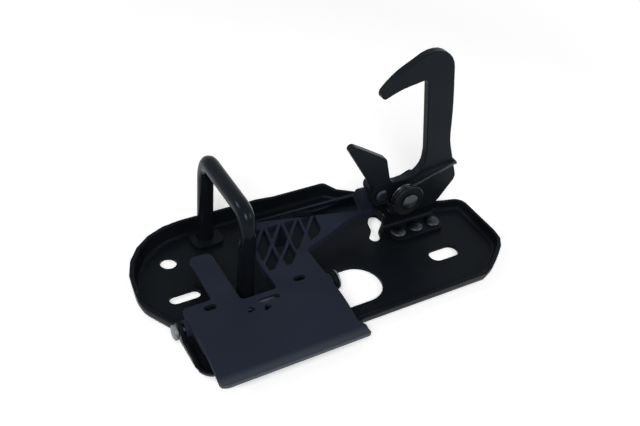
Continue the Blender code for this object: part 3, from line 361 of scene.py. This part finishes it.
# %% [markdown]
# The pressed tray is rounder at its front corners, and its rear edge runs
# straighter.  The striker's bar is bent more tightly at the top.  The hook's
# beak hangs lower under a rounder back, and its shank is broader.  Its bracket
# is lower, and its tail's pin and roller are shorter.  These places were found
# by laying the render over the photograph.

# %% Places that are reshaped
X, Y, Z = 0, 1, 2
PULLS = (     # node, axes, centre, reach and shift, in millimetres
    ("base_plate", (X, Y), (82.5, -35.0), 19.0, (-2.1, 2.6)),      # the front right corner is rounder
    ("base_plate", (X, Y), (80.0, 14.5), 20.0, (0.0, 1.1)),        # the rear edge runs straighter
    ("base_plate", (X, Y), (-84.0, -40.1), 9.0, (1.2, 1.6)),       # the front left corner is rounder
    ("striker", (Y, Z), (41.0, 53.0), 10.0, (1.1, 1.1)),           # the rear bend is tighter
    ("striker", (Y, Z), (-3.5, 53.0), 10.0, (-0.5, 0.7)),          # and so is the front bend
    ("hook_bracket", (X, Z), (45.0, 39.5), 10.0, (0.0, -4.2)),     # the tower is lower behind the throat
    ("hook", (X, Z), (15.7, 87.5), 26.0, (-0.2, -1.9)),            # the beak hangs lower
    ("hook", (X, Z), (30.0, 98.0), 15.0, (-1.0, 1.3)),             # its back is rounder
    ("hook", (X, Z), (75.0, 78.0), 27.0, (0.8, 0.0)),              # the shank is broader
)
PIN_HEAD = -85.34               # X of the face that the hinge pin's head starts from
HINGE_LINE = (-15.53, 9.2)      # Y and Z of the hinge pin's middle
TAIL_REAR = 15.5                # Y past which the tail's pin and roller stand out too far
RESCALED_ENDS = {               # axis, start, side and factor, then centre line and girth
    "base_plate": (Y, -30.0, -1, 1.07),                           # the front rim reaches further
    "hook_tail_pin": (Y, TAIL_REAR, 1, 0.62),
    "tail_roller": (Y, TAIL_REAR, 1, 0.62),
    "hinge_pin": (X, PIN_HEAD, -1, 0.55, HINGE_LINE, 0.75),       # a thinner and smaller head
}
print("pulls:", len(PULLS), "rescaled ends:", len(RESCALED_ENDS))

# %% [markdown]
# A solid from a CAD file is made of loose triangles with razor edges, and real
# edges are never razor sharp: shearing rolls them, and paint or a mould rounds
# them.  So each node gets a finished twin.  Its triangles are merged, flat
# areas become single faces again, a Bevel modifier rounds the edges, weighted
# normals keep the flat faces flat to the eye, and the node itself is hidden.

# %% Make a finished twin
MERGE_REACH = 0.002                   # millimetres; closer points become one
FLAT_WITHIN = math.radians(0.7)       # faces that turn less than this become one
HOOK_STEP = 9.0                       # millimetres; longer edges of the hook are cut
HOOK_CUTS = 5
SHARP_FROM = math.radians(32.0)       # edges that turn more than this are rounded
TRAY_SHARP_FROM = math.radians(42.0)  # the same for the tray, whose bends turn in broader steps
BROAD_EDGE = 0.4                      # millimetres; a wider rounding shows, so it gets more steps


def reshaped_copy(node):
    """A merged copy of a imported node's mesh, with its outlines pulled to the real ones."""
    bm = bmesh.new()
    bm.from_mesh(nodes[node].data)
    bmesh.ops.remove_doubles(bm, verts=bm.verts, dist=MERGE_REACH * MM)
    bmesh.ops.dissolve_limit(bm, angle_limit=FLAT_WITHIN, use_dissolve_boundaries=False,
                             verts=bm.verts, edges=bm.edges, delimit=set())
    if node == "hook":
        split_long_edges(bm, HOOK_STEP, HOOK_CUTS)
    for name, axes, centre, reach, shift in PULLS:
        if name == node:
            pull(bm, axes, centre, reach, shift)
    if node in RESCALED_ENDS:
        rescale_end(bm, *RESCALED_ENDS[node])
    mesh = bpy.data.meshes.new(node + "_finished")
    bm.to_mesh(mesh)
    bm.free()
    return mesh


def finished(node, material, edge):
    """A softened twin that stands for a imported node; the edge is in millimetres."""
    mesh = reshaped_copy(node)
    mesh.materials.append(material)
    mesh.shade_smooth()
    piece = bpy.data.objects.new(mesh.name, mesh)
    bpy.context.scene.collection.objects.link(piece)
    bevel = piece.modifiers.new("rounded edges", "BEVEL")
    bevel.width = edge * MM
    bevel.segments = 3 if edge > BROAD_EDGE else 2
    bevel.limit_method = "ANGLE"
    bevel.angle_limit = TRAY_SHARP_FROM if node == "base_plate" else SHARP_FROM
    bevel.use_clamp_overlap = False
    even = piece.modifiers.new("flat faces stay flat", "WEIGHTED_NORMAL")
    even.mode = "FACE_AREA"
    even.keep_sharp = True
    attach(piece, bodies_of_nodes[node])
    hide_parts(node)


print("edges are rounded from", round(math.degrees(SHARP_FROM)), "degrees")

# %% [markdown]
# Each piece now gets its finish and the width of its edges.  A rivet's head or
# a spring is small, so its edges are narrow.  The hook is punched from thick
# plate, which rolls its edges over, so they are the widest.

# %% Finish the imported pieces
FINISHES = (     # material, edge in millimetres, nodes
    (coated, 0.25, ("base_plate", "striker_washer_rear", "striker_washer_front", "hook_bracket")),
    (zinc, 0.15, ("hinge_pin", "hinge_pin_clip")),
    (acetal, 0.15, ("hook_washer", "hook_bush", "tail_roller")),
    (rubber, 0.2, ("handle_bumper",)),
    (nylon, 0.3, ("handle",)),
    (wire, 0.1, ("handle_spring_left", "handle_spring_right", "hook_spring")),
    (black_zinc, 0.15, ("bracket_rivet_1", "bracket_rivet_2", "bracket_rivet_3", "hook_tail_pin")),
    (dull_zinc, 0.15, ("hook_pivot_rivet",)),
    (coated_bar, 0.25, ("striker",)),
    (coated_plate, 0.45, ("hook",)),
)
for finish, edge_width, members in FINISHES:
    for member in members:
        finished(member, finish, edge_width)
print("finished pieces:", sum(len(members) for finish, edge_width, members in FINISHES), "of", len(nodes))

# %% [markdown]
# The latch lies on a pale floor.  More lamps would make the floor white, but
# they would wash out the black latch too, so the floor glows a little instead,
# and only for rays that show it: from the camera, off a glossy surface or
# through glass.  The glow rises with the distance, so that the floor turns
# white towards the horizon, and it is weak enough near the latch to leave the
# latch's shadow.

# %% Floor
FLOOR_REACH = 6.0             # metres from the floor's middle to its sides
FLOOR_DROP = 0.2 * MM         # the floor lies this far below the latch
NEAR, FAR = 0.3, 1.2          # metres from the latch between which the glow rises
GLOW_NEAR, GLOW_FAR = 0.28, 1.008


def rays_that_show(tree):
    """1 for rays that show the backdrop: from the camera, off a glossy surface or through glass."""
    path = add_node(tree, "ShaderNodeLightPath")
    total = path.outputs["Is Camera Ray"]
    for kind in ("Is Glossy Ray", "Is Transmission Ray"):
        total = add_node(tree, "ShaderNodeMath", {"operation": "ADD", "use_clamp": True},
                         {0: total, 1: path.outputs[kind]}).outputs[0]
    return total


def pale_floor():
    material, tree, shader, place = new_material("pale_floor")
    distance = add_node(tree, "ShaderNodeVectorMath", {"operation": "LENGTH"}, {0: place})
    rise = add_node(tree, "ShaderNodeMapRange",
                    {"From Min": NEAR, "From Max": FAR, "To Min": GLOW_NEAR, "To Max": GLOW_FAR},
                    {"Value": distance.outputs["Value"]})
    glow = add_node(tree, "ShaderNodeMath", {"operation": "MULTIPLY"},
                    {0: rays_that_show(tree), 1: rise.outputs["Result"]})
    tree.links.new(glow.outputs[0], shader.inputs["Emission Strength"])
    shader.inputs["Emission Color"].default_value = linear("#ffffff")
    shader.inputs["Base Color"].default_value = linear("#f4f4f4")
    shader.inputs["Roughness"].default_value = 0.9
    shader.inputs["Specular IOR Level"].default_value = 0.0
    return material


floor_mesh = bpy.data.meshes.new("floor")
bm = bmesh.new()
bmesh.ops.create_grid(bm, x_segments=1, y_segments=1, size=FLOOR_REACH)
bm.to_mesh(floor_mesh)
bm.free()
floor_mesh.materials.append(pale_floor())
floor = bpy.data.objects.new("floor", floor_mesh)
floor.location.z = -FLOOR_DROP
bpy.context.scene.collection.objects.link(floor)
print("floor of", 2.0 * FLOOR_REACH, "m at", floor.location.z, "m")

# %% [markdown]
# Soft light shows black paint best, because the paint is seen mostly by what it
# reflects.  The world gives a low even light, and it looks white behind the
# object.  Three large lamps stand round the latch: a key at the front left, a
# weaker fill at the front right, and a rim lamp behind on the left.  None of
# them is where the tray's flat floor would mirror it into the camera.

# %% Light
WORLD_LIGHT = 0.2
WORLD_SHOWN = 1.0
LATCH = (0.0, 0.0, 0.0)
LATCH_UPPER = (0.0, 0.0, 0.03)

world = bpy.data.worlds.new("studio_world")
bpy.context.scene.world = world
world.use_nodes = True
background = world.node_tree.nodes["Background"]
background.inputs["Color"].default_value = linear("#ffffff")
strength = add_node(world.node_tree, "ShaderNodeMapRange", {"To Min": WORLD_LIGHT, "To Max": WORLD_SHOWN},
                    {"Value": rays_that_show(world.node_tree)})
world.node_tree.links.new(strength.outputs["Result"], background.inputs["Strength"])


def area_lamp(name, place, target, size, power):
    """A round lamp in metres and watts that points at a target."""
    data = bpy.data.lights.new(name, "AREA")
    data.shape = "DISK"
    data.size = size
    data.energy = power
    lamp = bpy.data.objects.new(name, data)
    lamp.location = place
    lamp.rotation_euler = (Vector(target) - Vector(place)).to_track_quat("-Z", "Y").to_euler()
    bpy.context.scene.collection.objects.link(lamp)
    print("lamp", name, "at", place, "with", power, "W")


area_lamp("key", (-0.55, -0.75, 0.95), LATCH, 0.6, 12.0)
area_lamp("fill", (0.75, -0.6, 0.7), LATCH, 0.5, 3.5)
area_lamp("rim", (-0.85, 0.55, 0.8), LATCH_UPPER, 0.4, 4.0)

# %% [markdown]
# The Standard view shows a colour as it is written.

# %% Finish
bpy.context.scene.view_settings.view_transform = "Standard"
